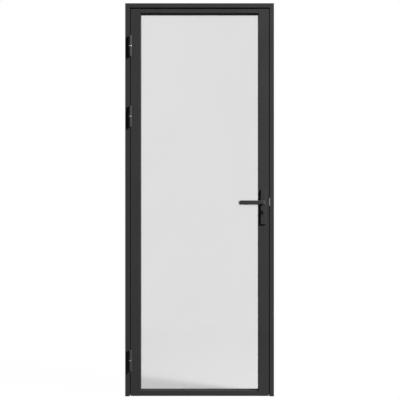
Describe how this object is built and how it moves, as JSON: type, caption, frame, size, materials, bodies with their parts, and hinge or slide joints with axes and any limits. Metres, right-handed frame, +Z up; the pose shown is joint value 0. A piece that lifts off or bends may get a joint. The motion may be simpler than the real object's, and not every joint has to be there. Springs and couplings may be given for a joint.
{
  "type": "glazed door with frame",
  "caption": "Slim steel-framed door with a full-height frosted pane, in a three-sided frame, with barrel hinges, a lever on a long plate and a thumb-turn that throws a bolt.",
  "frame": {"origin": "on the floor, in the middle of the frame's width and in the middle plane of the closed leaf", "axes": "+X from the hinge side to the lock side, -Y towards the side that the leaf opens to, +Z up"},
  "size_m": [0.795, 0.164, 2.1],
  "materials": {
    "frame_paint": "satin",
    "hinge_paint": "satin",
    "hinge_cap_paint": "satin",
    "furniture_paint": "satin",
    "bright_steel": "satin",
    "zinc_steel": "satin",
    "spring_steel": "satin",
    "seal_rubber": "matte",
    "black_plastic": "matte",
    "nylon": "matte",
    "frosted_glass": "matte"
  },
  "bodies": {
    "frame": {"hinge_jamb": "frame_paint", "lock_jamb": "frame_paint", "head": "frame_paint", "hinge_side_seal": "seal_rubber", "lock_side_seal": "seal_rubber", "head_seal": "seal_rubber", "strike_plate": "bright_steel", "strike_screws": "bright_steel", "hinge_frame_caps": "hinge_cap_paint", "bottom_hinge_frame_knuckle": "hinge_paint", "bottom_hinge_pin": "bright_steel", "bottom_hinge_ring": "bright_steel", "middle_hinge_frame_knuckle": "hinge_paint", "middle_hinge_pin": "bright_steel", "middle_hinge_ring": "bright_steel", "top_hinge_frame_knuckle": "hinge_paint", "top_hinge_pin": "bright_steel", "top_hinge_ring": "bright_steel"},
    "leaf": {"hinge_leaf_caps": "hinge_cap_paint", "hinge_stile": "frame_paint", "lock_stile": "frame_paint", "top_rail": "frame_paint", "bottom_rail": "frame_paint", "stile_caps": "black_plastic", "glass_pane": "frosted_glass", "setting_blocks": "black_plastic", "front_gasket": "seal_rubber", "rear_gasket": "seal_rubber", "hinge_side_bead": "frame_paint", "lock_side_bead": "frame_paint", "top_bead": "frame_paint", "bottom_bead": "frame_paint", "floor_seal": "seal_rubber", "lock_case": "zinc_steel", "lock_cover": "zinc_steel", "forend": "bright_steel", "forend_screws": "bright_steel", "lock_brackets": "zinc_steel", "follower_spring": "spring_steel", "front_plate": "furniture_paint", "rear_plate": "furniture_paint", "plate_bolts": "furniture_paint", "front_bush": "nylon", "rear_bush": "nylon", "bottom_hinge_leaf_knuckle": "hinge_paint", "middle_hinge_leaf_knuckle": "hinge_paint", "top_hinge_leaf_knuckle": "hinge_paint"},
    "lever_set": {"front_lever": "furniture_paint", "rear_lever": "furniture_paint", "lever_spindle": "zinc_steel", "follower": "zinc_steel"},
    "latch": {"latch_bolt": "bright_steel"},
    "turn_set": {"thumb_turn": "furniture_paint", "rear_release": "furniture_paint", "turn_spindle": "zinc_steel", "turn_hub": "zinc_steel"},
    "lock_bolt": {"deadbolt": "bright_steel"}
  },
  "joints": [
    {"name": "leaf_swing", "type": "hinge", "parent": "frame", "child": "leaf", "pos_m": [-0.369, -0.0345, 0], "axis": [0, 0, -1], "range_deg": [0, 170]},
    {"name": "lever_turn", "type": "hinge", "parent": "leaf", "child": "lever_set", "pos_m": [0.34, 0, 1.035], "axis": [0, -1, 0], "range_deg": [0, 40], "stiffness_Nm_per_rad": 1.5, "springref_deg": -34.38},
    {"name": "latch_slide", "type": "slide", "parent": "leaf", "child": "latch", "axis": [-1, 0, 0], "range_m": [0, 0.0115]},
    {"name": "thumb_turn_spin", "type": "hinge", "parent": "leaf", "child": "turn_set", "pos_m": [0.34, 0, 0.986], "axis": [0, 1, 0], "range_deg": [0, 90]},
    {"name": "deadbolt_slide", "type": "slide", "parent": "leaf", "child": "lock_bolt", "axis": [1, 0, 0], "range_m": [0, 0.012]}
  ],
  "couplings": [
    {"joint": "latch_slide", "follows": "lever_turn", "m_per_rad": 0.016472},
    {"joint": "thumb_turn_spin", "follows": "deadbolt_slide", "rad_per_m": 130.9}
  ]
}
